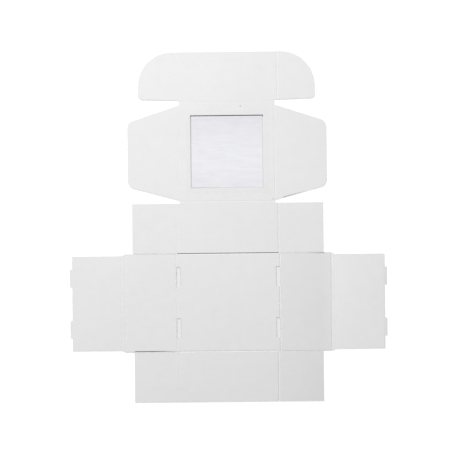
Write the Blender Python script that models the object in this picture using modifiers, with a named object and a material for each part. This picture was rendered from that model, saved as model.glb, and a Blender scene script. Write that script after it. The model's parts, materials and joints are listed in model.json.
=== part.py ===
"""A flat die-cut mailer of fine corrugated board, white side up, with a film window in its lid.

Run it with: blender --background --python part.py

The blank lies flat. +X is right, +Y runs from the bottom panel to the lid, and +Z is up, out of the white
side that ends inside the folded box. The origin is the middle of the bottom panel's under side. Every panel
hangs on an empty whose origin is on its crease, so turning the empties by 90 degrees folds the box.
"""

import math
from collections import namedtuple

import bmesh
import bpy
from mathutils import Matrix, Vector

# Room inside the folded box
INNER_LENGTH = 0.150
INNER_WIDTH = 0.150
INNER_HEIGHT = 0.0795

# The board: two liners and the wavy paper between them
LINER = 0.0002
MEDIUM_HEIGHT = 0.0010
MEDIUM_PAPER = 0.00016
FLUTE_PITCH = 0.0034
GLUE_LINE = 0.00002

# Creases and running clearances
CREASE_GAP = 0.00005
MITRE_GAP = 0.00015
PLY_CLEARANCE = 0.00015
SLIT_WIDTH = 0.0010
INNER_WALL_RELIEF = 0.0010
INNER_WALL_FLOOR_GAP = 0.0020
TUCK_CLEARANCE = 0.0012
LIP_CORNER_GAP = 0.0006

# Dust flaps, wings and ears
DUST_FLAP_LENGTH = 0.0698
TUCK_HEIGHT = 0.0781
EAR_LENGTH = 0.0584
EAR_ARC_RADIUS = 0.0525
EAR_CORNER_RADIUS = 0.0055
EAR_TAPER = 0.0018
WING_FLOOR_GAP = 0.00015
WING_FRONT_RELIEF = 0.0047
WING_BACK_RELIEF = 0.0015
WING_FRONT_TAPER = 0.0263
WING_BACK_TAPER = 0.0218
WING_CORNER_RADIUS = 0.0120

# Locking tabs and their slots
TAB_SPACING = 0.0800
TAB_WIDTH = 0.0278
TAB_LENGTH = 0.0034
TAB_CORNER_RADIUS = 0.0008
SLOT_LENGTH = 0.0315

# The window and its film
WINDOW_LENGTH = 0.1140
WINDOW_WIDTH = 0.1140
FILM_MARGIN = 0.0080
FILM_THICKNESS = 0.00015
FILM_GLUE_THICKNESS = 0.00005
FILM_GLUE_INSET = 0.0010

# Modelling
CUT_OVERRUN = 0.0020
WELD_DISTANCE = 0.0000001
LARGE_ARC_STEPS = 14
SMALL_ARC_STEPS = 6
MITRE_ANGLE = math.radians(45)

# Heights: a crease bends about the upper face of the outer liner
BOARD = 2 * LINER + MEDIUM_HEIGHT
HINGE_HEIGHT = LINER
INSIDE = BOARD - HINGE_HEIGHT

# Bottom panel, and the rims that bridge two thicknesses of board between the side walls
BOTTOM_DEPTH = INNER_WIDTH + 2 * INSIDE
RIM_WIDTH = 4 * BOARD + 3 * PLY_CLEARANCE - 2 * HINGE_HEIGHT
BOTTOM_WIDTH = INNER_LENGTH + 2 * (RIM_WIDTH + HINGE_HEIGHT)
PLY_STEP = BOARD + PLY_CLEARANCE
EDGE_OFFSET = INSIDE + PLY_CLEARANCE

# Walls
BACK_HEIGHT = INNER_HEIGHT + 2 * INSIDE
SIDE_HEIGHT = BACK_HEIGHT - PLY_STEP
FRONT_HEIGHT = SIDE_HEIGHT - EDGE_OFFSET
BACK_WIDTH = BOTTOM_WIDTH - 2 * PLY_STEP
FRONT_WIDTH = BACK_WIDTH - 2 * PLY_STEP
SIDE_DEPTH = BOTTOM_DEPTH + 2 * (EDGE_OFFSET - SLIT_WIDTH)
INNER_WALL_DEPTH = INNER_WIDTH - 2 * INNER_WALL_RELIEF
INNER_WALL_HEIGHT = SIDE_HEIGHT - INSIDE - INNER_WALL_FLOOR_GAP

# Lid, tuck, ears and wings
LID_WIDTH = INNER_LENGTH - 2 * (HINGE_HEIGHT + PLY_CLEARANCE)
LID_DEPTH = BOTTOM_DEPTH + BOARD + TUCK_CLEARANCE
TUCK_WIDTH = BACK_WIDTH
UPPER_EDGE_OFFSET = PLY_STEP + EDGE_OFFSET
WING_HEIGHT = INNER_HEIGHT + INSIDE - WING_FLOOR_GAP

# Crease lines on the flat blank
BOTTOM_FRONT = -BOTTOM_DEPTH / 2
BOTTOM_BACK = BOTTOM_DEPTH / 2
BACK_TOP = BOTTOM_BACK + BACK_HEIGHT
LID_FRONT = BACK_TOP + LID_DEPTH
SIDE_CREASE = BOTTOM_WIDTH / 2
RIM_OUTER_CREASE = SIDE_CREASE + SIDE_HEIGHT
RIM_INNER_CREASE = RIM_OUTER_CREASE + RIM_WIDTH
SLOT_WIDTH = RIM_WIDTH + HINGE_HEIGHT + PLY_CLEARANCE
WINDOW_CENTRE = (BACK_TOP + LID_FRONT) / 2

SIDES = (("left", -1), ("right", 1))

Corner = namedtuple("Corner", "x y radius steps creased")
Panel = namedtuple("Panel", "name corners hinge empty")


def cut(x, y, radius=0, steps=SMALL_ARC_STEPS):
    """A corner of an outline whose next side is a cut edge."""
    return Corner(x, y, radius, steps, False)


def crease(x, y):
    """A corner of an outline whose next side is a crease."""
    return Corner(x, y, 0, 0, True)


def on_side(corners, side):
    """An outline drawn for the right side, or its mirror image for the left side."""
    if side > 0:
        return corners
    flags = [corner.creased for corner in corners]
    turned = flags[-2::-1] + flags[-1:]
    return [
        corner._replace(x=-corner.x, creased=flag)
        for corner, flag in zip(reversed(corners), turned)
    ]


def arc(before, corner, after):
    """The points of a rounded corner, from the side before it to the side after it."""
    here = Vector((corner.x, corner.y))
    back = (Vector((before.x, before.y)) - here).normalized()
    ahead = (Vector((after.x, after.y)) - here).normalized()
    half = back.angle(ahead) / 2
    centre = here + (back + ahead).normalized() * (corner.radius / math.sin(half))
    spoke = here + back * (corner.radius / math.tan(half)) - centre
    sweep = math.pi - 2 * half
    return [
        centre + Matrix.Rotation(sweep * step / corner.steps, 2) @ spoke
        for step in range(corner.steps + 1)
    ]


def drawn(corners):
    """An outline's points, each with whether the side that starts there is a crease."""
    points = []
    for number, corner in enumerate(corners):
        before = corners[number - 1]
        after = corners[(number + 1) % len(corners)]
        if corner.radius:
            points += [(point, False) for point in arc(before, corner, after)]
        else:
            points.append((Vector((corner.x, corner.y)), corner.creased))
    return points


def crossing(start, along, other_start, other_along):
    """Where two lines in the plane cross."""
    share = (other_start - start).cross(other_along) / along.cross(other_along)
    return start + along * share


def inward(along):
    """The direction into an outline that runs anticlockwise."""
    return Vector((-along.y, along.x)).normalized()


def drawn_in(corners, distance):
    """The outline with its creased sides moved inward, their ends kept on the sides beside them."""
    points = drawn(corners)
    moved = []
    for number, (here, creased) in enumerate(points):
        before, was_creased = points[number - 1]
        after = points[(number + 1) % len(points)][0]
        if not (creased or was_creased):
            moved.append((here, creased))
            continue
        along_before = here - before
        along_after = after - here
        start_before = before + inward(along_before) * (distance if was_creased else 0)
        start_after = here + inward(along_after) * (distance if creased else 0)
        meeting = crossing(start_before, along_before, start_after, along_after)
        moved.append((meeting, creased))
    return moved


def with_lip_ends(points):
    """The outline with a point added near each corner between two creases, where a lip stops short."""
    divided = []
    for number, (here, creased) in enumerate(points):
        was_creased = points[number - 1][1]
        after, next_creased = points[(number + 1) % len(points)]
        along = (after - here).normalized() * LIP_CORNER_GAP
        if not creased:
            divided.append((here, False))
            continue
        if was_creased:
            divided.append((here, False))
            divided.append((here + along, True))
        else:
            divided.append((here, True))
        if next_creased:
            divided.append((after - along, False))
    return divided


def new_collection(name):
    collection = bpy.data.collections.new(name)
    bpy.context.scene.collection.children.link(collection)
    return collection


def new_material(name, colour, roughness, metallic=0.0, alpha=1.0):
    material = bpy.data.materials.new(name)
    material.use_nodes = True
    shader = material.node_tree.nodes["Principled BSDF"]
    shader.inputs["Base Color"].default_value = (*colour, 1.0)
    shader.inputs["Roughness"].default_value = roughness
    shader.inputs["Metallic"].default_value = metallic
    shader.inputs["Alpha"].default_value = alpha
    material.diffuse_color = (*colour, alpha)
    return material


def place(item, panel):
    """Puts an object drawn in the blank's own coordinates on its panel's crease."""
    item.parent = panel.empty
    item.location.x -= panel.hinge.x
    item.location.y -= panel.hinge.y
    item.location.z -= panel.hinge.z


def flat_curve(name, rings, low, high):
    """A flat piece between two heights: an outline, then any holes in it."""
    curve = bpy.data.curves.new(name, "CURVE")
    curve.dimensions = "2D"
    curve.fill_mode = "BOTH"
    curve.extrude = (high - low) / 2
    for ring in rings:
        spline = curve.splines.new("POLY")
        spline.points.add(len(ring) - 1)
        for point, place_of_point in zip(spline.points, ring):
            point.co = (place_of_point[0], place_of_point[1], 0, 1)
        spline.use_cyclic_u = True
    item = bpy.data.objects.new(name, curve)
    item.location.z = (low + high) / 2
    return item


def as_mesh(item, collection):
    """A curve object made a mesh object of the same name, with its caps welded to its sides."""
    name = item.name
    collection.objects.link(item)
    bpy.context.view_layer.update()
    evaluated = item.evaluated_get(bpy.context.evaluated_depsgraph_get())
    mesh = bpy.data.meshes.new_from_object(evaluated)
    solid = bpy.data.objects.new(name + "_mesh", mesh)
    solid.matrix_world = item.matrix_world
    curve = item.data
    bpy.data.objects.remove(item)
    bpy.data.curves.remove(curve)
    solid.name = name
    edit = bmesh.new()
    edit.from_mesh(mesh)
    bmesh.ops.remove_doubles(edit, verts=edit.verts, dist=WELD_DISTANCE)
    bmesh.ops.recalc_face_normals(edit, faces=edit.faces)
    edit.to_mesh(mesh)
    edit.free()
    collection.objects.link(solid)
    return solid


def flat_piece(name, rings, low, high, material, collection):
    """A flat piece as a mesh with a material."""
    item = as_mesh(flat_curve(name, rings, low, high), collection)
    item.data.materials.append(material)
    return item


def box_cutter(name, centre, size, cutters):
    bpy.ops.mesh.primitive_cube_add(size=1, location=centre)
    cutter = bpy.context.object
    cutter.name = name
    cutter.scale = size
    bpy.ops.object.transform_apply(location=False, rotation=False, scale=True)
    for owner in list(cutter.users_collection):
        owner.objects.unlink(cutter)
    cutters.objects.link(cutter)
    hide_guide(cutter)
    return cutter


def hide_guide(item):
    item.hide_render = True
    item.display_type = "WIRE"


def boolean(item, cutter, operation):
    modifier = item.modifiers.new(cutter.name, "BOOLEAN")
    modifier.object = cutter
    modifier.operation = operation
    modifier.solver = "EXACT"


def add_hinge(name, parent, x, y, collection):
    """An empty on a panel's crease, carried by the panel that it folds from."""
    empty = bpy.data.objects.new(name + "_crease", None)
    collection.objects.link(empty)
    hinge = Vector((x, y, HINGE_HEIGHT))
    empty.empty_display_size = BOARD
    empty.location = hinge
    if parent:
        empty.parent = parent.empty
        empty.location = hinge - parent.hinge
    return hinge, empty


def outer_liner(panel, kit):
    """The liner that ends outside the folded box, a flat sheet up to the creases."""
    ring = [point for point, _ in drawn_in(panel.corners, CREASE_GAP)]
    item = flat_piece(
        panel.name + "_outer_liner", [ring], 0, LINER, kit.outer_paper, kit.parts
    )
    place(item, panel)
    return item


def wave_sheet(name, left, right, front, back):
    """Wavy paper whose waves run left to right, counted from the blank's origin so that panels match."""
    half_pitch = FLUTE_PITCH / 2
    first = math.floor((front - CUT_OVERRUN) / half_pitch)
    last = math.ceil((back + CUT_OVERRUN) / half_pitch)
    steepness = MEDIUM_HEIGHT / half_pitch
    rise = MEDIUM_HEIGHT - 2 * GLUE_LINE - MEDIUM_PAPER * math.hypot(1, steepness)
    middle = BOARD / 2
    edit = bmesh.new()
    verts = [
        edit.verts.new((left, step * half_pitch, middle + rise * (step % 2) - rise / 2))
        for step in range(first, last + 1)
    ]
    edges = [edit.edges.new(pair) for pair in zip(verts, verts[1:])]
    swept = bmesh.ops.extrude_edge_only(edit, edges=edges)["geom"]
    moved = [item for item in swept if isinstance(item, bmesh.types.BMVert)]
    bmesh.ops.translate(edit, verts=moved, vec=(right - left, 0, 0))
    bmesh.ops.recalc_face_normals(edit, faces=edit.faces)
    mesh = bpy.data.meshes.new(name)
    edit.to_mesh(mesh)
    edit.free()
    item = bpy.data.objects.new(name, mesh)
    paper = item.modifiers.new("paper", "SOLIDIFY")
    paper.thickness = MEDIUM_PAPER
    paper.offset = 0
    paper.use_even_offset = True
    return item


def fluting(panel, kit):
    """The wavy paper, trimmed flush with the cut edges and clear of the liner's lips at the creases."""
    clear = INSIDE + MITRE_GAP + LINER
    ring = [point for point, _ in drawn_in(panel.corners, clear)]
    xs = [point.x for point in ring]
    ys = [point.y for point in ring]
    name = panel.name + "_fluting"
    item = wave_sheet(
        name, min(xs) - CUT_OVERRUN, max(xs) + CUT_OVERRUN, min(ys), max(ys)
    )
    item.data.materials.append(kit.kraft_paper)
    kit.parts.objects.link(item)
    place(item, panel)
    trim = as_mesh(
        flat_curve(name + "_trim", [ring], -CUT_OVERRUN, BOARD + CUT_OVERRUN),
        kit.cutters,
    )
    hide_guide(trim)
    place(trim, panel)
    boolean(item, trim, "INTERSECT")
    return item


def inner_liner(panel, kit):
    """The liner that ends inside the folded box: creased sides bend down in a lip that meets the next panel's."""
    points = with_lip_ends(drawn_in(panel.corners, INSIDE + MITRE_GAP))
    foot = LINER + GLUE_LINE + LINER * math.cos(MITRE_ANGLE)
    drop = BOARD - foot
    edit = bmesh.new()
    verts = [edit.verts.new((point.x, point.y, BOARD)) for point, _ in points]
    edit.faces.new(verts)
    for number, (here, creased) in enumerate(points):
        if not creased:
            continue
        following = (number + 1) % len(points)
        outward = -inward(points[following][0] - here)
        edge = edit.edges.get((verts[number], verts[following]))
        swept = bmesh.ops.extrude_edge_only(edit, edges=[edge])["geom"]
        moved = [item for item in swept if isinstance(item, bmesh.types.BMVert)]
        run = outward * (drop * math.tan(MITRE_ANGLE))
        bmesh.ops.translate(edit, verts=moved, vec=(run.x, run.y, -drop))
    bmesh.ops.recalc_face_normals(edit, faces=edit.faces)
    if max(edit.faces, key=lambda face: face.calc_area()).normal.z < 0:
        bmesh.ops.reverse_faces(edit, faces=edit.faces)
    name = panel.name + "_inner_liner"
    mesh = bpy.data.meshes.new(name)
    edit.to_mesh(mesh)
    edit.free()
    item = bpy.data.objects.new(name, mesh)
    paper = item.modifiers.new("paper", "SOLIDIFY")
    paper.thickness = LINER
    paper.offset = -1
    paper.use_even_offset = True
    mesh.materials.append(kit.inner_paper)
    kit.parts.objects.link(item)
    place(item, panel)
    return item


def add_panel(name, parent, x, y, corners, kit, openings=()):
    """One panel of board: its crease, its three papers and the openings through them."""
    hinge, empty = add_hinge(name, parent, x, y, kit.parts)
    panel = Panel(name, corners, hinge, empty)
    for ply in (outer_liner, fluting, inner_liner):
        item = ply(panel, kit)
        for opening in openings:
            boolean(item, opening, "DIFFERENCE")
    return panel


def slot_cutters(kit):
    """The slots beside the side creases that take the locking tabs."""
    slots = []
    for side_name, side in SIDES:
        for end_name, end in (("front", -1), ("back", 1)):
            width = SLOT_WIDTH + CUT_OVERRUN
            middle = SIDE_CREASE - SLOT_WIDTH + width / 2
            slots.append(
                box_cutter(
                    f"{side_name}_{end_name}_slot",
                    (side * middle, end * TAB_SPACING / 2, BOARD / 2),
                    (width, SLOT_LENGTH, BOARD + 2 * CUT_OVERRUN),
                    kit.cutters,
                )
            )
    return slots


def add_bottom(kit):
    half_width = BOTTOM_WIDTH / 2
    corners = [
        crease(-half_width, BOTTOM_FRONT),
        crease(half_width, BOTTOM_FRONT),
        crease(half_width, BOTTOM_BACK),
        crease(-half_width, BOTTOM_BACK),
    ]
    return add_panel("bottom", None, 0, 0, corners, kit, slot_cutters(kit))


def add_front_wall(bottom, kit):
    half_width = FRONT_WIDTH / 2
    lower_edge = BOTTOM_FRONT - FRONT_HEIGHT
    corners = [
        cut(-half_width, lower_edge),
        crease(half_width, lower_edge),
        crease(half_width, BOTTOM_FRONT),
        crease(-half_width, BOTTOM_FRONT),
    ]
    return add_panel("front_wall", bottom, 0, BOTTOM_FRONT, corners, kit)


def add_back_wall(bottom, kit):
    half_width = BACK_WIDTH / 2
    half_neck = LID_WIDTH / 2
    shoulder = BACK_TOP - UPPER_EDGE_OFFSET
    corners = [
        crease(-half_width, BOTTOM_BACK),
        crease(half_width, BOTTOM_BACK),
        cut(half_width, shoulder),
        cut(half_neck, shoulder),
        crease(half_neck, BACK_TOP),
        cut(-half_neck, BACK_TOP),
        cut(-half_neck, shoulder),
        crease(-half_width, shoulder),
    ]
    return add_panel("back_wall", bottom, 0, BOTTOM_BACK, corners, kit)


def add_side_wall(side_name, side, bottom, kit):
    half_depth = SIDE_DEPTH / 2
    corners = [
        cut(SIDE_CREASE, -half_depth),
        crease(RIM_OUTER_CREASE, -half_depth),
        cut(RIM_OUTER_CREASE, half_depth),
        crease(SIDE_CREASE, half_depth),
    ]
    return add_panel(
        f"{side_name}_wall", bottom, side * SIDE_CREASE, 0, on_side(corners, side), kit
    )


def add_rim(side_name, side, wall, kit):
    outer_half = SIDE_DEPTH / 2
    inner_half = INNER_WALL_DEPTH / 2
    corners = [
        cut(RIM_OUTER_CREASE, -outer_half),
        crease(RIM_INNER_CREASE, -inner_half),
        cut(RIM_INNER_CREASE, inner_half),
        crease(RIM_OUTER_CREASE, outer_half),
    ]
    return add_panel(
        f"{side_name}_rim", wall, side * RIM_OUTER_CREASE, 0, on_side(corners, side), kit
    )


def add_inner_wall(side_name, side, rim, kit):
    half_depth = INNER_WALL_DEPTH / 2
    edge = RIM_INNER_CREASE + INNER_WALL_HEIGHT
    tip = edge + TAB_LENGTH
    tabs = []
    for middle in (-TAB_SPACING / 2, TAB_SPACING / 2):
        tabs += [
            cut(edge, middle - TAB_WIDTH / 2),
            cut(tip, middle - TAB_WIDTH / 2, TAB_CORNER_RADIUS),
            cut(tip, middle + TAB_WIDTH / 2, TAB_CORNER_RADIUS),
            cut(edge, middle + TAB_WIDTH / 2),
        ]
    corners = [
        cut(RIM_INNER_CREASE, -half_depth),
        cut(edge, -half_depth),
        *tabs,
        cut(edge, half_depth),
        crease(RIM_INNER_CREASE, half_depth),
    ]
    return add_panel(
        f"{side_name}_inner_wall",
        rim,
        side * RIM_INNER_CREASE,
        0,
        on_side(corners, side),
        kit,
    )


def add_front_flap(side_name, side, front_wall, kit):
    fold = FRONT_WIDTH / 2
    upper_edge = BOTTOM_FRONT - EDGE_OFFSET
    lower_edge = BOTTOM_FRONT - FRONT_HEIGHT
    corners = [
        cut(fold, lower_edge),
        cut(fold + DUST_FLAP_LENGTH, lower_edge),
        cut(fold + DUST_FLAP_LENGTH, upper_edge),
        crease(fold, upper_edge),
    ]
    return add_panel(
        f"front_{side_name}_flap",
        front_wall,
        side * fold,
        (upper_edge + lower_edge) / 2,
        on_side(corners, side),
        kit,
    )


def add_back_flap(side_name, side, back_wall, kit):
    fold = BACK_WIDTH / 2
    upper_edge = BACK_TOP - UPPER_EDGE_OFFSET
    lower_edge = BOTTOM_BACK + EDGE_OFFSET
    corners = [
        cut(fold, lower_edge),
        cut(fold + DUST_FLAP_LENGTH, lower_edge),
        cut(fold + DUST_FLAP_LENGTH, upper_edge),
        crease(fold, upper_edge),
    ]
    return add_panel(
        f"back_{side_name}_flap",
        back_wall,
        side * fold,
        (upper_edge + lower_edge) / 2,
        on_side(corners, side),
        kit,
    )


def add_lid(back_wall, kit):
    half_width = LID_WIDTH / 2
    corners = [
        crease(-half_width, BACK_TOP),
        crease(half_width, BACK_TOP),
        crease(half_width, LID_FRONT),
        crease(-half_width, LID_FRONT),
    ]
    window = box_cutter(
        "window",
        (0, WINDOW_CENTRE, BOARD / 2),
        (WINDOW_LENGTH, WINDOW_WIDTH, BOARD + 2 * CUT_OVERRUN),
        kit.cutters,
    )
    return add_panel("lid", back_wall, 0, BACK_TOP, corners, kit, [window])


def rectangle(length, width):
    """The corners of a rectangle about the window's middle."""
    return [
        (-length / 2, WINDOW_CENTRE - width / 2),
        (length / 2, WINDOW_CENTRE - width / 2),
        (length / 2, WINDOW_CENTRE + width / 2),
        (-length / 2, WINDOW_CENTRE + width / 2),
    ]


def add_film(lid, kit):
    """The clear film behind the window, and the ring of glue that holds it to the liner."""
    film_length = WINDOW_LENGTH + 2 * FILM_MARGIN
    film_width = WINDOW_WIDTH + 2 * FILM_MARGIN
    glue_top = BOARD + FILM_GLUE_THICKNESS
    glue = flat_piece(
        "window_glue",
        [
            rectangle(film_length - 2 * FILM_GLUE_INSET, film_width - 2 * FILM_GLUE_INSET),
            rectangle(
                WINDOW_LENGTH + 2 * FILM_GLUE_INSET, WINDOW_WIDTH + 2 * FILM_GLUE_INSET
            ),
        ],
        BOARD,
        glue_top,
        kit.glue,
        kit.parts,
    )
    film = flat_piece(
        "window_film",
        [rectangle(film_length, film_width)],
        glue_top,
        glue_top + FILM_THICKNESS,
        kit.film,
        kit.parts,
    )
    place(glue, lid)
    place(film, lid)


def add_wing(side_name, side, lid, kit):
    fold = LID_WIDTH / 2
    tip = fold + WING_HEIGHT
    front_root = LID_FRONT - WING_FRONT_RELIEF
    back_root = BACK_TOP + WING_BACK_RELIEF
    corners = [
        cut(fold, back_root),
        cut(tip, back_root + WING_BACK_TAPER, WING_CORNER_RADIUS),
        cut(tip, front_root - WING_FRONT_TAPER, WING_CORNER_RADIUS),
        crease(fold, front_root),
    ]
    return add_panel(
        f"lid_{side_name}_wing",
        lid,
        side * fold,
        (front_root + back_root) / 2,
        on_side(corners, side),
        kit,
    )


def add_tuck(lid, kit):
    half_width = TUCK_WIDTH / 2
    half_neck = LID_WIDTH / 2
    shoulder = LID_FRONT + UPPER_EDGE_OFFSET
    tip = LID_FRONT + TUCK_HEIGHT
    corners = [
        crease(-half_neck, LID_FRONT),
        cut(half_neck, LID_FRONT),
        cut(half_neck, shoulder),
        crease(half_width, shoulder),
        cut(half_width, tip),
        crease(-half_width, tip),
        cut(-half_width, shoulder),
        cut(-half_neck, shoulder),
    ]
    return add_panel("tuck", lid, 0, LID_FRONT, corners, kit)


def add_ear(side_name, side, tuck, kit):
    fold = TUCK_WIDTH / 2
    shoulder = LID_FRONT + UPPER_EDGE_OFFSET
    tip = LID_FRONT + TUCK_HEIGHT
    corners = [
        cut(fold, shoulder),
        cut(fold + EAR_LENGTH, shoulder + EAR_TAPER, EAR_CORNER_RADIUS),
        cut(fold + EAR_LENGTH, tip, EAR_ARC_RADIUS, LARGE_ARC_STEPS),
        crease(fold, tip),
    ]
    return add_panel(
        f"tuck_{side_name}_ear",
        tuck,
        side * fold,
        (shoulder + tip) / 2,
        on_side(corners, side),
        kit,
    )


Kit = namedtuple("Kit", "parts cutters outer_paper inner_paper kraft_paper film glue")


def build():
    for item in list(bpy.data.objects):
        bpy.data.objects.remove(item)
    kit = Kit(
        parts=new_collection("box_with_window"),
        cutters=new_collection("cutters"),
        outer_paper=new_material("white_outer_liner", (0.80, 0.80, 0.80), 0.55),
        inner_paper=new_material("white_inner_liner", (0.78, 0.78, 0.79), 0.75),
        kraft_paper=new_material("kraft_fluting", (0.42, 0.29, 0.18), 0.85),
        film=new_material("clear_film", (0.93, 0.93, 0.95), 0.08, alpha=0.3),
        glue=new_material("clear_glue", (0.85, 0.85, 0.82), 0.30, alpha=0.6),
    )
    bottom = add_bottom(kit)
    front_wall = add_front_wall(bottom, kit)
    back_wall = add_back_wall(bottom, kit)
    lid = add_lid(back_wall, kit)
    add_film(lid, kit)
    tuck = add_tuck(lid, kit)
    for side_name, side in SIDES:
        wall = add_side_wall(side_name, side, bottom, kit)
        rim = add_rim(side_name, side, wall, kit)
        add_inner_wall(side_name, side, rim, kit)
        add_front_flap(side_name, side, front_wall, kit)
        add_back_flap(side_name, side, back_wall, kit)
        add_wing(side_name, side, lid, kit)
        add_ear(side_name, side, tuck, kit)


build()
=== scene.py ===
"""Looks of a flat die-cut mailer with a film window, modelled around its packed panels.

The inner face of the board, its waves and its creases are made here. The outer face and the glue keep their
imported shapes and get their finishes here. Sizes are in metres.
"""
import json
import math

import bmesh
import bpy
from mathutils import Matrix, Vector
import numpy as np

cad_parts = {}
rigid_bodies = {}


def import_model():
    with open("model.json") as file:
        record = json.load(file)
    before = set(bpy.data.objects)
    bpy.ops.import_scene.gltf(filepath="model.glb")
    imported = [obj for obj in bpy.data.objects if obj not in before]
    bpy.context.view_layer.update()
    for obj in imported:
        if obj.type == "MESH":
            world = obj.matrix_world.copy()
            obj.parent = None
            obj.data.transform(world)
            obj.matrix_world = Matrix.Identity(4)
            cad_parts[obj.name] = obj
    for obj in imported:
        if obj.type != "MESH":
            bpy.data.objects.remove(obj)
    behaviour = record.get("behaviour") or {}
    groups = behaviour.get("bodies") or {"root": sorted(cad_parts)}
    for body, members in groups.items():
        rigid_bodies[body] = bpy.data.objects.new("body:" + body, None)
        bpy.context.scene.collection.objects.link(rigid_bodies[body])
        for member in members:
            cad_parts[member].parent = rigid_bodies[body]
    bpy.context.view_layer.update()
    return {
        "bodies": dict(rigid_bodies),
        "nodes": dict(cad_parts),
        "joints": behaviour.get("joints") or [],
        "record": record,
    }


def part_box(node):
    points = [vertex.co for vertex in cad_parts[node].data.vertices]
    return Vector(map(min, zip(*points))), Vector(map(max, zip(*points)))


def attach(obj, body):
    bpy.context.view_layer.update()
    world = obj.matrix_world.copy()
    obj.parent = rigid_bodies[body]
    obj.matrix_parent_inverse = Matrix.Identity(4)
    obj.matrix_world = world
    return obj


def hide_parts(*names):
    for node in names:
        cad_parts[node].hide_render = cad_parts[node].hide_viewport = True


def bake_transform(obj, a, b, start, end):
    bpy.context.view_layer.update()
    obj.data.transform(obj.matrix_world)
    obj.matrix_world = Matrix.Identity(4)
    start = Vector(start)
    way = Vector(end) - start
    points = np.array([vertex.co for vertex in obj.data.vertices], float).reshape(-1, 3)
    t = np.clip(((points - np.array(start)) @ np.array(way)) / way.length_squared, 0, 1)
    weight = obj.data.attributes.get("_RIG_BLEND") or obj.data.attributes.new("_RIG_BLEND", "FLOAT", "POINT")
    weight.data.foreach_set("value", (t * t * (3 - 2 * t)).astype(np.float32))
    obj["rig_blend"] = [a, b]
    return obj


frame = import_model()

# Corners closer than the first become one, a corner closer to a line than the second lies on it, and
# faces that turn less than the third are one face
WELD = 0.000001
NEAR = 0.00002
FLAT_WITHIN = math.radians(0.2)

# The board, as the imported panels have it: its height, its papers, and how far a crease reaches to each side
FACE_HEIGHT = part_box("bottom_inner_liner")[1].z
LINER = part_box("bottom_outer_liner")[1].z
FOLD_REACH = 0.00135
TRIM_DEPTH = 4 * FACE_HEIGHT

# Its waves
FLUTE_PITCH = 0.0034
FLUTE_PAPER = 0.00016
FLUTE_GAP = 0.00003
FLUTE_STEPS = 8

# Cut edges of the inner face: the rings that the die crushes, and the bands of nearness to the edge with what
# each sinks by
EDGE_STEPS = (0.00025, 0.00035)
EDGE_WIDTH = sum(EDGE_STEPS)
EDGE_BANDS = ((0.95, 1.1, 0.00012), (0.4, 0.95, 0.00004))

# The window in the lid, and its crushed lip: each ring's distance from the lip's edge, and what it sinks by
WINDOW_HALF = 0.057
WINDOW_CORNER = 0.0030
WINDOW_LIP = 0.0014
WINDOW_STEPS = (0.0003, 0.00085, 0.00025)
WINDOW_CRUSH = sum(WINDOW_STEPS)
WINDOW_RINGS = ((0, 0.0011), (0.0003, 0.0009), (0.00115, 0.00015))
WINDOW_DROP = WINDOW_RINGS[0][1]
glue_low, glue_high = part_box("window_glue")
WINDOW_CENTRE = (glue_low + glue_high) / 2

# How deep the lip is crushed on each side, and how strong the painted shadow on it is, as shares
WINDOW_SIDES = {"top": (1.0, 1.0), "left": (0.5, 0.3), "right": (0.5, 0.14), "bottom": (0.5, 0.22)}

# Creases: how deep each groove is, by the panel that folds at it, and how narrow the outer paper's bend is
CREASE_ROWS = 12
CREASE_DEPTHS = {
    "front_wall": 0.00036, "back_wall": 0.00028, "lid": 0.00017, "tuck": 0.00010,
    "left_wall": 0.00022, "left_rim": 0.00018, "left_inner_wall": 0.00016,
    "right_wall": 0.00060, "right_rim": 0.00036, "right_inner_wall": 0.00024,
    "front_left_flap": 0.00022, "front_right_flap": 0.00055,
    "back_left_flap": 0.00012, "back_right_flap": 0.00050,
    "lid_left_wing": 0.00010, "lid_right_wing": 0.00022,
    "tuck_left_ear": 0.00009, "tuck_right_ear": 0.00024,
}
OUTER_BEND = 0.00006
OUTER_ROWS = 4
SLOT_PLAY = 0.00025

# Film: glued flat up to a little inside the window, and rippled there
FILM_THICKNESS = 0.00006
FILM_LIFT = 0.00003
FILM_CELLS = 60
FILM_EDGE = 0.0025
FILM_RIPPLE = 0.0002
FILM_SMOOTHING = 9

# White papers: their darkest and palest tones as shares, and what each pattern adds to tone and height
PAPER_TONES = (0.93, 1.03)
FIBRES = {"scale": 1100, "detail": 3, "stretch": (0.45, 1, 1)}
MOTTLE = {"scale": 70, "detail": 2, "shift": (3, 1, 0)}
CLOUDS = {"scale": 12, "detail": 2, "shift": (7, 5, 0)}
FIBRE_TONE = 0.5
MOTTLE_TONE = 0.5
CLOUD_TONE = 0.4
RIDGE_TONE = 0.05
# How much darker the paper is near its cut edges
CUT_EDGE_DARKENING = 0.6
RIDGE_HEIGHT = 0.000008
FIBRE_HEIGHT = 0.00001
MOTTLE_HEIGHT = 0.00006
MOTTLE_ROUGHNESS = 0.1

# Brown paper
KRAFT_TONES = ((0.30, 0.19, 0.11, 1), (0.56, 0.40, 0.26, 1))
KRAFT_FIBRES = {"scale": 1500, "detail": 4, "stretch": (0.3, 1, 1)}
KRAFT_MOTTLE = {"scale": 160, "detail": 2}
KRAFT_FIBRE_TONE = 0.9
KRAFT_MOTTLE_TONE = 0.6
KRAFT_FIBRE_HEIGHT = 0.00002
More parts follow.
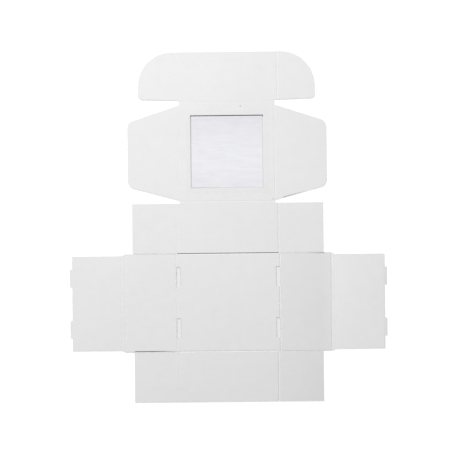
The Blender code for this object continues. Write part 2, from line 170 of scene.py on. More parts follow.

# Film: a veil, bluish a little above its middle and lavender towards its top and bottom, and denser towards
# its ends and upwards; this painted reflection leaves the window's middle brighter
FILM_TONES = ((0.250, 0.254, 0.340, 1), (0.250, 0.228, 0.338, 1))
FILM_HAZE = {"scale": 70, "detail": 4, "stretch": (0.7, 1.3, 1)}
FILM_STREAKS = {"scale": 240, "detail": 2, "stretch": (0.12, 1, 1)}
BLUEST_AT = 0.15
LAVENDER_AT_ENDS = 1.3
LAVENDER_HAZE = 0.8
GLUED_VEIL = 0.005
VEIL = 0.138
VEIL_AT_ENDS = 0.028
VEIL_UPWARDS = 0.012
VEIL_HAZE = 0.036
VEIL_STREAKS = 0.045
FILM_ROUGHNESS = 0.36
STREAK_ROUGHNESS = 0.06
STREAK_HEIGHT = 0.00002

# Marks on the inner face: specks, and painted shade and shadows along some cut edges and in the window's lip.
# A strip fades at its ends over a millimetre, and beyond its half width over that width divided by the
# softness. A speck fades out at its reach, in radii.
SOFT_END = 0.001
STRIP_SOFTNESS = 2
SPECK_REACH = 1.5
SPECK_GREY = 0.30
# The grey of the painted shadow in the window's lip
GAP_SHADOW_GREY = 0.09
# The dark pinkish grey of the painted shadows along cut edges
EDGE_SHADOW_COLOUR = (0.20, 0.17, 0.18, 1)

# Each speck's place along X and Y, radius and strength
SPECKS = ((0.0218, 0.3064, 0.0010, 0.9), (0.0317, 0.3062, 0.0007, 0.3))

# Each painted shadow strip follows Y = line + slope * X: in the front left slit, at the back right slit's
# outer end, and under the right wing's slanted edge. It starts along X, is full a fade further, and then
# ends.
EDGE_SHADOW_STRIPS = (
    {"line": -0.0756, "slope": 0, "half_width": 0.00055,
     "start": -0.080, "fade": -0.035, "end": -0.1472, "strength": 1.0},
    {"line": 0.0761, "slope": 0, "half_width": 0.00045,
     "start": 0.122, "fade": 0.026, "end": 0.1520, "strength": 0.8},
    {"line": 0.1398, "slope": 0.2706, "half_width": 0.0004,
     "start": 0.125, "fade": -0.025, "end": 0.0865, "strength": 0.9},
)
EDGE_SHADOW_WOBBLE = {"scale": 700, "detail": 2}

# Faint painted shade along the cut edges beside all four slits, and on the right of the slots
SLIT_SHADE = {"line": 0.0763, "half_width": 0.0003, "start": 0.0815, "end": 0.1600, "strength": 0.35}
SLOT_SHADE = {
    "lines": (-0.0746, 0.0811), "half_width": 0.0003, "start": 0.0243, "end": 0.0557, "strength": 0.4,
}

# Spring of the open walls on the right: where each slope starts along X, how long it is, and its height
CURL_TOP = 0.07755
CURL_BEND = 0.4
CURL_REACH = 0.080
FALL_START = 0.0815
FALL = 0.0069
RISE_START = 0.1626
RISE = 0.0120
LEVEL_START = 0.1443
LEVEL_REACH = 0.0172
LEVEL_RISE = 0.0009
STEEP_REACH = 0.028
STEEP_FALL = 0.0020

# The camera looks almost straight down on the open blank
CAMERA_HEIGHT = 1.5
VIEW_CENTRE = Vector((-0.00405, 0.12094, FACE_HEIGHT))
METRES_PER_PIXEL = 0.00156139
PICTURE_PIXELS = 450
SENSOR = 36
FARTHEST = 20
ROLL = math.radians(0.6136)
TILT_X = math.radians(0.3288)
TILT_Y = math.radians(-0.2782)

# A softbox at the upper left of the picture, a weaker one overhead, and a white room
KEY_DISTANCE = 3.3
KEY_ELEVATION = math.radians(42)
KEY_AZIMUTH = math.radians(122)
KEY_SIZE = 0.6
KEY_WATTS = 95
TOP_PLACE = Vector((-0.09, 0.26, 1.62))
TOP_SIZE = 0.4
TOP_WATTS = 9.3
SKY = 0.23

# The floor, its glow, and the share of it that is left under the bottom panel as painted shade, which only
# the slots show
FLOOR_SIZE = 8.0
FLOOR_DEPTH = 0.0002
FLOOR_TONES = (0.49, 0.51)
FLOOR_GRAIN = {"scale": 40, "detail": 2}
FLOOR_GRAIN_TONE = 0.3
FLOOR_GLOW = 0.54
SLOT_GLOW = 0.46


def deselect():
    bpy.ops.object.select_all(action="DESELECT")


def pick(item):
    """Selects one object alone and makes it the active one."""
    deselect()
    item.select_set(True)
    bpy.context.view_layer.objects.active = item


def start_editing(item):
    pick(item)
    bpy.ops.object.mode_set(mode="EDIT")


def stop_editing():
    bpy.ops.object.mode_set(mode="OBJECT")
    deselect()


def choose_all():
    bpy.ops.mesh.select_all(action="SELECT")


def choose(item, kind, test):
    """Selects the vertices, edges or faces of the edited mesh that pass a test of their place."""
    bpy.ops.mesh.select_mode(type=kind)
    bpy.ops.mesh.select_all(action="DESELECT")
    shape = bmesh.from_edit_mesh(item.data)
    parts = {"VERT": shape.verts, "EDGE": shape.edges, "FACE": shape.faces}[kind]
    found = [part for part in parts if test(part)]
    for part in found:
        part.select_set(True)
    bmesh.update_edit_mesh(item.data)
    return len(found)


def cut(at, facing):
    """Cuts the whole edited mesh along a plane and keeps both sides."""
    choose_all()
    bpy.ops.mesh.bisect(plane_co=at, plane_no=facing)


def lift(height):
    """Raises what is selected in the edited mesh, or sinks it by a height below zero."""
    bpy.ops.transform.translate(value=(0, 0, height))


def apply_modifier(item, name, kind, **settings):
    """Adds a modifier and applies it."""
    modifier = item.modifiers.new(name, kind)
    for setting, value in settings.items():
        setattr(modifier, setting, value)
    pick(item)
    bpy.ops.object.modifier_apply(modifier=name)
    deselect()


def smooth(item, degrees=30):
    """Shades the item smooth, apart from edges sharper than an angle."""
    pick(item)
    bpy.ops.object.shade_smooth_by_angle(angle=math.radians(degrees))
    deselect()


def settle(item):
    """Puts a new piece's place into its mesh."""
    pick(item)
    bpy.ops.object.transform_apply(location=True, rotation=True, scale=True)
    deselect()


def link(item):
    """Puts a new object into the scene."""
    bpy.context.scene.collection.objects.link(item)


def grid(name, cells, size, centre):
    """A flat grid with so many cells along X and Y, at its size and place."""
    bpy.ops.mesh.primitive_grid_add(
        x_subdivisions=cells[0], y_subdivisions=cells[1], size=1, location=centre
    )
    item = bpy.context.object
    item.name = name
    item.scale = (*size, 1)
    settle(item)
    return item


def paint(item, material):
    """Gives an object one material."""
    item.data.materials.clear()
    item.data.materials.append(material)


def finish_piece(item, material):
    """Gives a new piece its material."""
    paint(item, material)


def hinges_of(panel):
    """The joints that the panel hangs on or carries."""
    return [joint for joint in frame["joints"] if panel in (joint["parent"], joint["child"])]


def runs_along(joint):
    """0 for a crease that runs along X, 1 for one that runs along Y."""
    return 0 if abs(joint["axis"][0]) > 0.5 else 1


def creases_of(panel):
    """The panel's creases: the number of the axis across each, and its place on that axis."""
    return [(1 - runs_along(joint), joint["pos_m"][1 - runs_along(joint)]) for joint in hinges_of(panel)]


def towards_child(joint):
    """1 if the child panel lies on the positive side of its crease, or else -1."""
    across = 1 - runs_along(joint)
    low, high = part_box(joint["child"] + "_outer_liner")
    return 1 if (low + high)[across] / 2 > joint["pos_m"][across] else -1


def flat_face(panel, name):
    """The flat part of a panel's inner face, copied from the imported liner."""
    item = bpy.data.objects.new(name, frame["nodes"][panel + "_inner_liner"].data.copy())
    link(item)
    start_editing(item)
    choose_all()
    bpy.ops.mesh.remove_doubles(threshold=WELD)
    choose(item, "FACE", lambda face: min(vert.co.z for vert in face.verts) < FACE_HEIGHT - NEAR)
    bpy.ops.mesh.delete(type="FACE")
    choose_all()
    bpy.ops.mesh.dissolve_limited(angle_limit=FLAT_WITHIN)
    if panel == "lid":
        halve(item)
    stop_editing()
    return item


def halve(item):
    """Splits the lid's face into halves that meet above and below the window.

    It is also cut across below the window's top corners, where the lip's deep top gives way to its sides.
    """
    cut(WINDOW_CENTRE, (1, 0, 0))

    def off_middle(edge):
        return not edge.is_boundary and any(abs(vert.co.x - WINDOW_CENTRE.x) > NEAR for vert in edge.verts)

    choose(item, "EDGE", off_middle)
    bpy.ops.mesh.dissolve_edges(use_verts=False)
    cut(WINDOW_CENTRE + Vector((0, WINDOW_HALF - WINDOW_CORNER, 0)), (0, 1, 0))


def beside_crease(panel):
    """A test for edges of the flat face that lie along one of the panel's creases."""
    lines = creases_of(panel)

    def test(edge):
        return any(
            all(abs(abs(vert.co[across] - at) - FOLD_REACH) < NEAR for vert in edge.verts)
            for across, at in lines
        )

    return test


def edge_steps(panel):
    """The widths of the rings inside the panel's cut edges, from the edge inwards."""
    return WINDOW_STEPS if panel == "lid" else EDGE_STEPS


def near_crease(panel):
    """A test for points of the panel that are so near a crease that the die has not crushed them."""
    lines = creases_of(panel)
    reach = FOLD_REACH + sum(edge_steps(panel))

    def test(point):
        return any(abs(point[across] - at) < reach for across, at in lines)

    return test


def mark_margins(panel):
    """Cuts the edited face along each crease of the panel, a little inside it."""
    low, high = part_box(panel + "_outer_liner")
    middle = (low + high) / 2
    for joint in hinges_of(panel):
        across = 1 - runs_along(joint)
        side = Vector((0, 0, 0))
        side[across] = math.copysign(1, middle[across] - joint["pos_m"][across])
        cut(Vector(joint["pos_m"]) + side * (FOLD_REACH + 2 * sum(edge_steps(panel))), side)


def distance_to_edge(point, ends):
    """How far a point is from the line between two ends."""
    start, end = ends
    along = end - start
    share = max(0.0, min(1.0, (point - start).dot(along) / along.length_squared))
    return (start + along * share - point).length


def window_distance(point):
    """How far a point of the lid is outside the edge of the window's crushed lip."""
    return max(abs(point.x - WINDOW_CENTRE.x), abs(point.y - WINDOW_CENTRE.y)) - WINDOW_HALF + WINDOW_LIP


def window_side(point):
    """How deep the window's lip is crushed on a point's side, and how strong the painted shadow there is, as
    shares.
    """
    across = point.x - WINDOW_CENTRE.x
    along = point.y - WINDOW_CENTRE.y
    if along > abs(across) - NEAR:
        return WINDOW_SIDES["top"]
    if -along > abs(across) - NEAR:
        return WINDOW_SIDES["bottom"]
    return WINDOW_SIDES["left" if across < 0 else "right"]


def by_window(point, panel):
    """Whether a point of a panel belongs to the window's lip."""
    return panel == "lid" and window_distance(point) < WINDOW_CRUSH + NEAR


def move_window_edge(item, outwards):
    """Widens the window in the edited face, or narrows it by a distance below zero."""
    choose(item, "VERT", lambda vert: abs(window_distance(vert.co) - WINDOW_LIP) < NEAR)
    factor = 1 + outwards / WINDOW_HALF
    bpy.ops.transform.resize(value=(factor, factor, 1), center_override=WINDOW_CENTRE)


def cut_edges_of(item, panel):
    """The ends of each edge of the edited face that the die has cut."""
    creased = beside_crease(panel)
    shape = bmesh.from_edit_mesh(item.data)
    return [
        tuple(vert.co.copy() for vert in edge.verts)
        for edge in shape.edges
        if edge.is_boundary and not creased(edge)
    ]


def mark_cut_edge_nearness(item, panel, cut_edges):
    """Writes how near each corner of the edited face is to a cut edge, 1 on it and 0 away from it."""
    shape = bmesh.from_edit_mesh(item.data)
    wear = shape.verts.layers.float.new("wear")
    uncrushed = near_crease(panel)
    for vert in shape.verts:
        if cut_edges and not uncrushed(vert.co):
            nearest = min(distance_to_edge(vert.co, ends) for ends in cut_edges)
            vert[wear] = max(0.0, 1 - nearest / EDGE_WIDTH)
    bmesh.update_edit_mesh(item.data)


def crush_cut_edges(item, panel):
    """Sinks the rings along the cut edges, apart from the window's lip."""
    for low, high, drop in EDGE_BANDS:
        shape = bmesh.from_edit_mesh(item.data)
        wear = shape.verts.layers.float["wear"]
        if choose(item, "VERT", lambda vert: low <= vert[wear] < high and not by_window(vert.co, panel)):
            lift(-drop)


def crush_window_side(item, ring, drop, side):
    """Sinks one ring of the window's lip on one side, and paints shadow on it by the side's share."""
    depth, gap_shadow_share = side
    choose(
        item, "VERT",
        lambda vert: abs(window_distance(vert.co) - ring) < NEAR and window_side(vert.co) is side,
    )
    shape = bmesh.from_edit_mesh(item.data)
    bare = shape.verts.layers.float["bare"]
    for vert in shape.verts:
        vert[bare] = gap_shadow_share if vert.select else vert[bare]
    bmesh.update_edit_mesh(item.data)
    lift(-drop * depth)


def crush_window_lip(item):
    """Sinks the rings of the window's lip, each side by its own share, and paints shadow on them."""
    # A layer for the painted shadow in the window's lip
    bmesh.from_edit_mesh(item.data).verts.layers.float.new("bare")
    for ring, drop in WINDOW_RINGS:
        for side in WINDOW_SIDES.values():
            crush_window_side(item, ring, drop, side)


def inner_face(panel):
    """The liner that ends inside the box, with cut edges that the die has crushed, its paper darker along
    them.
    """
    item = flat_face(panel, panel + "_inner_face")
    start_editing(item)
    if panel == "lid":
        move_window_edge(item, -WINDOW_LIP)
    cut_edges = cut_edges_of(item, panel)
    mark_margins(panel)
    choose_all()
    for step in edge_steps(panel):
        bpy.ops.mesh.inset(thickness=step, use_boundary=True, use_even_offset=True)
    mark_cut_edge_nearness(item, panel, cut_edges)
    crush_cut_edges(item, panel)
    if panel == "lid":
        crush_window_lip(item)
    stop_editing()
    apply_modifier(item, "paper", "SOLIDIFY", thickness=LINER, offset=-1)
    smooth(item)
    apply_modifier(item, "normals", "WEIGHTED_NORMAL", keep_sharp=True)
    finish_piece(item, INNER_PAPER)
    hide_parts(panel + "_inner_liner")
    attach(item, panel)


def waves(panel):
    """The wavy paper inside the board, cut where the panel's faces are cut."""
    trim = flat_face(panel, panel + "_trim")
    if panel == "lid":
        start_editing(trim)
        move_window_edge(trim, WINDOW_CRUSH - WINDOW_LIP)
        stop_editing()
        trim.data.update()
    low = Vector(trim.bound_box[0])
    high = Vector(trim.bound_box[6])
    first = math.floor(low.y / FLUTE_PITCH)
    last = math.ceil(high.y / FLUTE_PITCH)
    rise = FACE_HEIGHT / 2 - LINER - FLUTE_GAP - FLUTE_PAPER / 2
    centre = Vector(((low.x + high.x) / 2, (first + 0.5) * FLUTE_PITCH, FACE_HEIGHT / 2))
    size = (high.x - low.x + 2 * FLUTE_PITCH, FLUTE_PITCH)
    item = grid(panel + "_waves", (1, FLUTE_STEPS), size, centre)
    start_editing(item)
    for step in range(FLUTE_STEPS + 1):
        at = (first + step / FLUTE_STEPS) * FLUTE_PITCH
        choose(item, "VERT", lambda vert: abs(vert.co.y - at) < NEAR)
        lift(rise * math.cos(math.tau * step / FLUTE_STEPS))
    stop_editing()
    apply_modifier(
        item, "repeat", "ARRAY", count=last - first, use_relative_offset=False, use_constant_offset=True,
        constant_offset_displace=(0, FLUTE_PITCH, 0), use_merge_vertices=True, merge_threshold=NEAR,
    )
    apply_modifier(item, "paper", "SOLIDIFY", thickness=FLUTE_PAPER, offset=0, use_even_offset=True)
    apply_modifier(trim, "depth", "SOLIDIFY", thickness=TRIM_DEPTH, offset=0)
    apply_modifier(item, "trim", "BOOLEAN", object=trim, operation="INTERSECT", solver="EXACT")
    bpy.data.objects.remove(trim)
    smooth(item, degrees=50)
    finish_piece(item, KRAFT_PAPER)
    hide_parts(panel + "_fluting")
    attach(item, panel)


def reach_along(panel, along, at):
    """How far a panel reaches along a crease, measured on its outer liner on the line at a place."""
    across = 1 - along
    found = []
    mesh = frame["nodes"][panel + "_outer_liner"].data
    for edge in mesh.edges:
        start, end = (mesh.vertices[index].co for index in edge.vertices)
        if (start[across] - at) * (end[across] - at) > 0 or start[across] == end[across]:
            continue
        share = (at - start[across]) / (end[across] - start[across])
        found.append(start[along] + share * (end[along] - start[along]))
    low, high = min(found), max(found)
    if along == 1:
        for line in (at for axis, at in creases_of(panel) if axis == 1):
            low = line + FOLD_REACH if abs(low - line) < FOLD_REACH else low
            high = line - FOLD_REACH if abs(high - line) < FOLD_REACH else high
    return low, high


def crease_rows(joint, reach, rows):
    """The rows of a strip across a crease: the place of each, its distance past the hinge, and its ends."""
    along = runs_along(joint)
    line = Vector(joint["pos_m"])[1 - along]
    towards = towards_child(joint)
    found = []
    for row in range(rows + 1):
        offset = reach * (2 * row / rows - 1)
        panel = joint["parent"] if offset < NEAR else joint["child"]
        measured = line + towards * math.copysign(max(abs(offset), 4 * NEAR), offset if offset else -1)
        found.append((line + towards * offset, offset, reach_along(panel, along, measured)))
    return found


def stretch_row(item, along, is_in_row, old_ends, new_ends):
    """Moves the two ends of one row of a strip along its crease."""
    middle = sum(old_ends) / 2
    for before, after, side in zip(old_ends, new_ends, (-1, 1)):
        if abs(before - after) < WELD:
            continue
        choose(item, "VERT", lambda vert: is_in_row(vert) and (vert.co[along] - middle) * side > 0)
        shift = [0, 0, 0]
        shift[along] = after - before
        bpy.ops.transform.translate(value=shift)


def slots_beside(joint):
    """The slots that cut the parent panel's side of a crease: where each starts and ends along it."""
    if joint["parent"] != "bottom" or runs_along(joint) == 0:
        return []
    side = joint["child"].split("_")[0]
    return [
        (opening["box_m"][0][1] - SLOT_PLAY, opening["box_m"][1][1] + SLOT_PLAY)
        for opening in frame["record"]["physics"]["openings"]
        if opening["name"].startswith(side)
    ]


def cut_at_slots(item, joint):
    """Takes the bottom panel's side of a crease away where a slot is."""
    hinge = Vector(joint["pos_m"])
    towards = towards_child(joint)
    for start, end in slots_beside(joint):
        cut((0, start, 0), (0, 1, 0))
        cut((0, end, 0), (0, 1, 0))

        def in_slot(face):
            middle = face.calc_center_median()
            return start < middle.y < end and (middle.x - hinge.x) * towards < 0

        choose(item, "FACE", in_slot)
        bpy.ops.mesh.delete(type="FACE")


def crease_strip(joint, name, reach, rows, height_at, thickness):
    """A strip of paper across a crease, in rows along it, each as long as the panel on its side."""
    along = runs_along(joint)
    across = 1 - along
    places = crease_rows(joint, reach, rows)
    low, high = places[0][2]
    centre = Vector((0, 0, 0))
    centre[along] = (low + high) / 2
    centre[across] = joint["pos_m"][across]
    if along == 0:
        item = grid(name, (1, rows), (high - low, 2 * reach), centre)
    else:
        item = grid(name, (rows, 1), (2 * reach, high - low), centre)
    start_editing(item)
    for place, offset, ends in places:

        def is_in_row(vert):
            return abs(vert.co[across] - place) < NEAR / 2

        choose(item, "VERT", is_in_row)
        lift(height_at(abs(offset) / reach))
        stretch_row(item, along, is_in_row, (low, high), ends)
    cut_at_slots(item, joint)
    stop_editing()
    apply_modifier(item, "paper", "SOLIDIFY", thickness=thickness, offset=-1)
    item.data.update()
    smooth(item)
    return item


def bend(item, joint, reach):
    """Lets a crease strip fold with its joint."""
    hinge = Vector(joint["pos_m"])
    step = Vector((0, 0, 0))
    step[1 - runs_along(joint)] = reach * towards_child(joint)
    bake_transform(item, joint["parent"], joint["child"], start=hinge - step, end=hinge + step)


def crease(joint):
    """The three papers across one crease."""
    name = joint["child"] + "_crease"

    def groove_height(share):
        return FACE_HEIGHT - CREASE_DEPTHS[joint["child"]] * (1 + math.cos(math.pi * share)) / 2

    def core_height(share):
        return groove_height(share) - LINER - FLUTE_GAP

    face = crease_strip(joint, name + "_inner_face", FOLD_REACH, CREASE_ROWS, groove_height, LINER)
    finish_piece(face, INNER_PAPER)
    thickness = core_height(0) - LINER - FLUTE_GAP
    core = crease_strip(joint, name + "_crushed_waves", FOLD_REACH, CREASE_ROWS, core_height, thickness)
    finish_piece(core, KRAFT_PAPER)
    back = crease_strip(joint, name + "_outer_face", OUTER_BEND, OUTER_ROWS, lambda share: LINER, LINER)
    finish_piece(back, OUTER_PAPER)
    bend(face, joint, FOLD_REACH)
    bend(core, joint, FOLD_REACH)
    bend(back, joint, OUTER_BEND)


def crushed_window_edge():
    """The waves round the window, crushed to a wedge by the cut."""
    outer = WINDOW_HALF - WINDOW_LIP + WINDOW_CRUSH
    bottom = FLUTE_GAP
    top = FACE_HEIGHT - LINER - FLUTE_GAP
    bpy.ops.mesh.primitive_plane_add(size=2 * outer, location=(WINDOW_CENTRE.x, WINDOW_CENTRE.y, bottom))
    item = bpy.context.object
    item.name = "window_crushed_waves"
    settle(item)
    start_editing(item)
    choose_all()
    bpy.ops.mesh.inset(thickness=WINDOW_CRUSH)
    bpy.ops.mesh.delete(type="FACE")
    choose_all()
    bpy.ops.mesh.extrude_region_move(TRANSFORM_OT_translate={"value": (0, 0, top - bottom)})
    for side in WINDOW_SIDES.values():
        depth = side[0]
        choose(
            item, "VERT",
            lambda vert: vert.co.z > top - NEAR and window_distance(vert.co) < NEAR
            and window_side(vert.co) is side,
        )
        lift(-WINDOW_DROP * depth)
    choose_all()
    bpy.ops.mesh.normals_make_consistent(inside=False)
    stop_editing()
    finish_piece(item, KRAFT_PAPER)
    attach(item, "lid")


def film():
    """Clear film, glued flat round the window and slightly rippled inside it."""
    low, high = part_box("window_film")
    centre = ((low.x + high.x) / 2, (low.y + high.y) / 2, low.z + FILM_LIFT + FILM_THICKNESS)
    item = grid("clear_film", (FILM_CELLS, FILM_CELLS), (high - low)[:2], centre)
    start_editing(item)

    def loose(vert):
        across = WINDOW_HALF - abs(vert.co.x - WINDOW_CENTRE.x)
        along = WINDOW_HALF - abs(vert.co.y - WINDOW_CENTRE.y)
        return min(across, along) > FILM_EDGE

    choose(item, "VERT", loose)
    bpy.ops.transform.vertex_random(offset=FILM_RIPPLE, uniform=0.3, normal=1.0, seed=7)
    bpy.ops.mesh.vertices_smooth(factor=0.5, repeat=FILM_SMOOTHING)
    stop_editing()
    apply_modifier(item, "film", "SOLIDIFY", thickness=FILM_THICKNESS, offset=-1)
    smooth(item, degrees=60)
    finish_piece(item, CLEAR_FILM)
    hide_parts("window_film")
    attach(item, "lid")


class Amount:
    """A number that varies over a surface. Arithmetic on it adds Math nodes to its finish."""

    def __init__(self, finish, socket):
        self.finish = finish
        self.socket = socket

    def __add__(self, other):
        return self.finish.math("ADD", self, other)

    def __sub__(self, other):
        return self.finish.math("SUBTRACT", self, other)

    def __rsub__(self, other):
        return self.finish.math("SUBTRACT", other, self)

    def __mul__(self, other):
        return self.finish.math("MULTIPLY", self, other)

    def __pow__(self, other):
        return self.finish.math("POWER", self, other)

    def __rpow__(self, other):
        return self.finish.math("POWER", other, self)

    def __abs__(self):
        return self.finish.math("ABSOLUTE", self)

    __radd__ = __add__
    __rmul__ = __mul__


class Finish:
    """A material under construction."""

    def __init__(self, name):
        self.material = bpy.data.materials.new(name)
        self.material.use_nodes = True
        self.tree = self.material.node_tree
        self.shader = self.tree.nodes["Principled BSDF"]
        self.place = self.node("ShaderNodeTexCoord").outputs["Object"]

    def node(self, kind, settings=None, inputs=None):
        """A node with its settings, then the values or links of its sockets."""
        node = self.tree.nodes.new(kind)
        for name, value in (settings or {}).items():
            setattr(node, name, value)
        for name, value in (inputs or {}).items():
            self.feed(node.inputs[name], value)
        return node

    def feed(self, socket, value):
        """Links a socket to what varies, or sets it to what is the same all over."""
        if isinstance(value, Amount):
            value = value.socket
        if isinstance(value, bpy.types.NodeSocket):
            self.tree.links.new(value, socket)
        else:
            socket.default_value = value

    def math(self, operation, *values):
        """One Math node on amounts and numbers."""
        inputs = dict(enumerate(values))
        return Amount(self, self.node("ShaderNodeMath", {"operation": operation}, inputs).outputs[0])

    def clamp(self, value):
        """The value, kept from 0 to 1."""
        return self.math("MINIMUM", self.math("MAXIMUM", value, 0.0), 1.0)

    def climb(self, value, start, reach):
        """0 up to a start and 1 from a reach further on. A reach below zero climbs the other way."""
        return self.clamp((value - start) * (1 / reach))

    def axis(self, letter):
        """A point's place along X, Y or Z."""
        return Amount(self, self.node("ShaderNodeSeparateXYZ", inputs={0: self.place}).outputs[letter])

    def noise(self, scale, detail, stretch=(1, 1, 1), shift=(0, 0, 0)):
        """Noise from -0.5 to 0.5, so many lumps to a metre."""
        mapping = self.node(
            "ShaderNodeMapping", inputs={"Vector": self.place, "Scale": stretch, "Location": shift}
        )
        noise = self.node(
            "ShaderNodeTexNoise", inputs={"Vector": mapping.outputs[0], "Scale": scale, "Detail": detail}
        )
        return Amount(self, noise.outputs["Fac"]) - 0.5

    def attribute(self, name):
        """What the piece's mesh says at each point, or 0 where it says nothing."""
        return Amount(self, self.node("ShaderNodeAttribute", {"attribute_name": name}).outputs["Fac"])

    def blend(self, share, first, second):
        """A colour between two, by a share from 0 to 1."""
        mix = self.node("ShaderNodeMix", {"data_type": "RGBA"}, {0: share, 6: first, 7: second})
        return mix.outputs[2]

    def bump(self, height):
        """Relief by its height in metres."""
        node = self.node("ShaderNodeBump", inputs={"Height": height, "Distance": 1.0, "Strength": 1.0})
        self.feed(self.shader.inputs["Normal"], node.outputs[0])

    def set(self, **inputs):
        """Sets or links the shader's own sockets."""
        names = {
            "colour": "Base Color", "roughness": "Roughness", "specular": "Specular IOR Level",
            "ior": "IOR", "alpha": "Alpha", "glow_colour": "Emission Color", "glow": "Emission Strength",
        }
        for name, value in inputs.items():
            self.feed(self.shader.inputs[names[name]], value)


def grey(level, warmth=0.0):
    """A grey, a little redder and less blue with warmth."""
    return (level * (1 + warmth), level, level * (1 - warmth), 1.0)


def paper(name, level, roughness, warmth=0.0, marked=False):
    """White liner: fine fibres, a soft mottle and the faint ridges of the waves under it.

    The marked paper, on the inner side, also has this blank's specks, painted shade and shadows along some
    cut edges, painted shadow in the window's lip, and curl.
    """
    finish = Finish(name)
    fibres = finish.noise(**FIBRES)
    mottle = finish.noise(**MOTTLE)
    clouds = finish.noise(**CLOUDS)
    ridges = finish.math("SINE", finish.axis("Y") * (math.tau / FLUTE_PITCH))
    near_cut_edge = finish.attribute("wear")
    share = finish.clamp(
        0.5 + fibres * FIBRE_TONE + mottle * MOTTLE_TONE + clouds * CLOUD_TONE + ridges * RIDGE_TONE
        - near_cut_edge * CUT_EDGE_DARKENING
    )
    dark, pale = (grey(level * tone, warmth) for tone in PAPER_TONES)
    colour = finish.blend(share, dark, pale)
    height = ridges * RIDGE_HEIGHT + fibres * FIBRE_HEIGHT + mottle * MOTTLE_HEIGHT
    if marked:
        colour = finish.blend(specks(finish), colour, grey(SPECK_GREY))
        # Painted shade and shadows along the slits, the slots and some cut edges
        colour = finish.blend(painted_edge_shadows(finish), colour, EDGE_SHADOW_COLOUR)
        # Painted shadow in the window's lip, strongest along its top
        colour = finish.blend(finish.attribute("bare"), colour, grey(GAP_SHADOW_GREY))
        height = height + curl(finish)
    finish.set(colour=colour, roughness=roughness + mottle * MOTTLE_ROUGHNESS, specular=0.3)
    finish.bump(height)
    return finish.material


def specks(finish):
    """Small dark specks on the lid, the second one a faint trace."""
    found = 0
    for x, y, radius, strength in SPECKS:
        across = finish.axis("X") - x
        along = finish.axis("Y") - y
        away = (across * across + along * along) ** 0.5
        found = finish.clamp(SPECK_REACH - away * (1 / radius)) * strength + found
    return found


def strip(finish, away, half_width):
    """1 inside a strip and 0 outside it, with soft sides, by the distance from its middle line."""
    return finish.clamp(1 + STRIP_SOFTNESS - away * (STRIP_SOFTNESS / half_width))


def within(finish, place, mark):
    """1 between a mark's start and end and 0 outside them, with soft ends."""
    return finish.climb(place, mark["start"], SOFT_END) * finish.climb(place, mark["end"], -SOFT_END)


def painted_edge_shadows(finish):
    """Painted shade along cut edges: faint beside the slits and slots, and darker painted shadows in two
    slits and under the right wing's slanted edge.
    """
    x, y = finish.axis("X"), finish.axis("Y")
    away = abs(abs(y) - SLIT_SHADE["line"])
    found = strip(finish, away, SLIT_SHADE["half_width"]) * within(finish, abs(x), SLIT_SHADE)
    found = found * SLIT_SHADE["strength"]
    for line in SLOT_SHADE["lines"]:
        edge = strip(finish, abs(x - line), SLOT_SHADE["half_width"]) * within(finish, abs(y), SLOT_SHADE)
        found = found + edge * SLOT_SHADE["strength"]
    wobble = finish.noise(**EDGE_SHADOW_WOBBLE)
    for shadow_strip in EDGE_SHADOW_STRIPS:
        away = abs(y - shadow_strip["line"] - x * shadow_strip["slope"] + wobble * shadow_strip["half_width"])
        coming = finish.climb(x, shadow_strip["start"], shadow_strip["fade"])
        going = finish.climb(x, shadow_strip["end"], -math.copysign(SOFT_END, shadow_strip["fade"]))
        found = found + strip(finish, away, shadow_strip["half_width"]) * coming * going * shadow_strip["strength"]
    return finish.clamp(found)


def curl(finish):
    """The open walls on the right spring up: the first tilts away from the light, the last towards it."""
    x = finish.axis("X")
    fall = finish.climb(x, FALL_START, CURL_REACH)
    rise = finish.climb(x, RISE_START, CURL_REACH)
    level = finish.climb(x, LEVEL_START, LEVEL_REACH)
    steep = 1 - finish.climb(x, RISE_START, STEEP_REACH)
    first = level * level * LEVEL_RISE - fall * (1 - CURL_BEND + fall * CURL_BEND) * FALL
    last = rise * (1 + CURL_BEND - rise * CURL_BEND) * RISE - steep * steep * STEEP_FALL
    return (first + last) * finish.climb(finish.axis("Y"), CURL_TOP, -SOFT_END)


def kraft():
    """Brown paper with darker and paler fibres."""
    finish = Finish("kraft_paper")
    fibres = finish.noise(**KRAFT_FIBRES)
    mottle = finish.noise(**KRAFT_MOTTLE)
    share = finish.clamp(0.5 + fibres * KRAFT_FIBRE_TONE + mottle * KRAFT_MOTTLE_TONE)
    finish.set(colour=finish.blend(share, *KRAFT_TONES), roughness=0.85)
    finish.bump(fibres * KRAFT_FIBRE_HEIGHT)
    return finish.material


def film_finish():
    """Clear film: almost unseen where it is glued down, a pale lavender veil over the window, thinner and
    bluer near its middle as a painted reflection.
    """
    finish = Finish("clear_film")
    across = finish.axis("X") - WINDOW_CENTRE.x
    along = finish.axis("Y") - WINDOW_CENTRE.y
    farther = finish.math("MAXIMUM", abs(across), abs(along))
    inside = finish.math("LESS_THAN", farther, WINDOW_HALF - WINDOW_LIP)
    haze = finish.noise(**FILM_HAZE)
    streaks = finish.noise(**FILM_STREAKS)
    up = along * (1 / WINDOW_HALF)
    off_blue = up - BLUEST_AT
    lavender = finish.clamp(off_blue * off_blue * LAVENDER_AT_ENDS + haze * LAVENDER_HAZE)
    # Denser towards the top and bottom than in the middle, and upwards: painted reflection
    veil = VEIL + up * up * VEIL_AT_ENDS + up * VEIL_UPWARDS + haze * VEIL_HAZE + streaks * VEIL_STREAKS
    finish.set(
        colour=finish.blend(lavender, *FILM_TONES),
        roughness=FILM_ROUGHNESS + streaks * STREAK_ROUGHNESS,
        alpha=GLUED_VEIL + inside * veil,
        ior=1.45,
        specular=0.3,
    )
    finish.bump(streaks * STREAK_HEIGHT)
    return finish.material


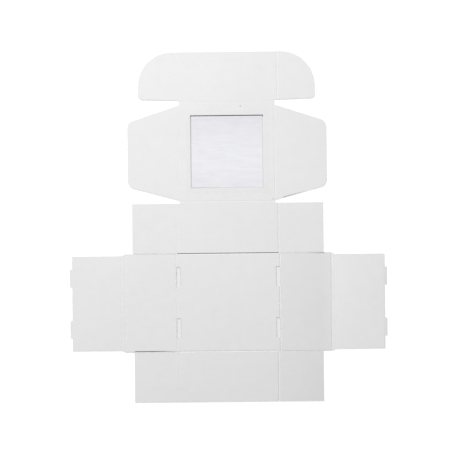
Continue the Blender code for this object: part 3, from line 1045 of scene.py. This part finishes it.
INNER_PAPER = paper("white_inner_paper", level=0.69, roughness=0.62, marked=True)
OUTER_PAPER = paper("white_outer_paper", level=0.72, roughness=0.5, warmth=0.004)
KRAFT_PAPER = kraft()
CLEAR_FILM = film_finish()
CLEAR_GLUE = paper("glue_on_white_paper", level=0.69, roughness=0.6)


def dress():
    """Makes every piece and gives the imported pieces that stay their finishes."""
    for panel in frame["bodies"]:
        inner_face(panel)
        waves(panel)
        paint(frame["nodes"][panel + "_outer_liner"], OUTER_PAPER)
    for joint in frame["joints"]:
        crease(joint)
    crushed_window_edge()
    film()
    paint(frame["nodes"]["window_glue"], CLEAR_GLUE)


def add_camera():
    """Adds the camera, with a lens that gives a picture pixel its size on the board."""
    data = bpy.data.cameras.new("camera")
    data.sensor_width = SENSOR
    data.lens = CAMERA_HEIGHT / (METRES_PER_PIXEL * PICTURE_PIXELS) * SENSOR
    data.clip_end = FARTHEST
    camera = bpy.data.objects.new("camera", data)
    link(camera)
    turn = Matrix.Rotation(ROLL, 4, "Z") @ Matrix.Rotation(TILT_X, 4, "X") @ Matrix.Rotation(TILT_Y, 4, "Y")
    camera.matrix_world = (
        Matrix.Translation(VIEW_CENTRE) @ turn.inverted() @ Matrix.Translation((0, 0, CAMERA_HEIGHT))
    )
    bpy.context.scene.camera = camera


def softbox(name, place, size, watts):
    """A square lamp that faces the blank."""
    data = bpy.data.lights.new(name, "AREA")
    data.shape = "SQUARE"
    data.size = size
    data.energy = watts
    lamp = bpy.data.objects.new(name, data)
    link(lamp)
    lamp.location = place
    lamp.rotation_euler = (place - VIEW_CENTRE).to_track_quat("Z", "Y").to_euler()


def add_light():
    """Adds the two softboxes and the white room."""
    towards = Vector((
        math.cos(KEY_ELEVATION) * math.cos(KEY_AZIMUTH),
        math.cos(KEY_ELEVATION) * math.sin(KEY_AZIMUTH),
        math.sin(KEY_ELEVATION),
    ))
    softbox("key_softbox", VIEW_CENTRE + towards * KEY_DISTANCE, KEY_SIZE, KEY_WATTS)
    softbox("top_softbox", TOP_PLACE, TOP_SIZE, TOP_WATTS)
    world = bpy.data.worlds.new("studio")
    world.use_nodes = True
    sky = world.node_tree.nodes["Background"]
    sky.inputs["Color"].default_value = (1, 1, 1, 1)
    sky.inputs["Strength"].default_value = SKY
    bpy.context.scene.world = world


def add_floor():
    """A pale floor that glows, less so under the bottom panel as painted shade, which only the slots show."""
    bpy.ops.mesh.primitive_plane_add(size=FLOOR_SIZE, location=(0, 0, -FLOOR_DEPTH))
    floor = bpy.context.object
    floor.name = "floor"
    finish = Finish("pale_floor")
    grain = finish.noise(**FLOOR_GRAIN)
    dark, pale = (grey(tone) for tone in FLOOR_TONES)
    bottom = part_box("bottom_outer_liner")[1]
    across = finish.math("LESS_THAN", abs(finish.axis("X")), bottom.x)
    along = finish.math("LESS_THAN", abs(finish.axis("Y")), bottom.y)
    finish.set(
        colour=finish.blend(0.5 + grain * FLOOR_GRAIN_TONE, dark, pale),
        roughness=0.9,
        specular=0.2,
        # Less glow under the bottom panel: painted shade seen through the slots
        glow_colour=finish.blend(across * along, grey(1.0), grey(SLOT_GLOW)),
        glow=FLOOR_GLOW,
    )
    paint(floor, finish.material)


dress()
add_camera()
add_light()
add_floor()
bpy.context.scene.view_settings.view_transform = "Standard"
bpy.context.view_layer.update()
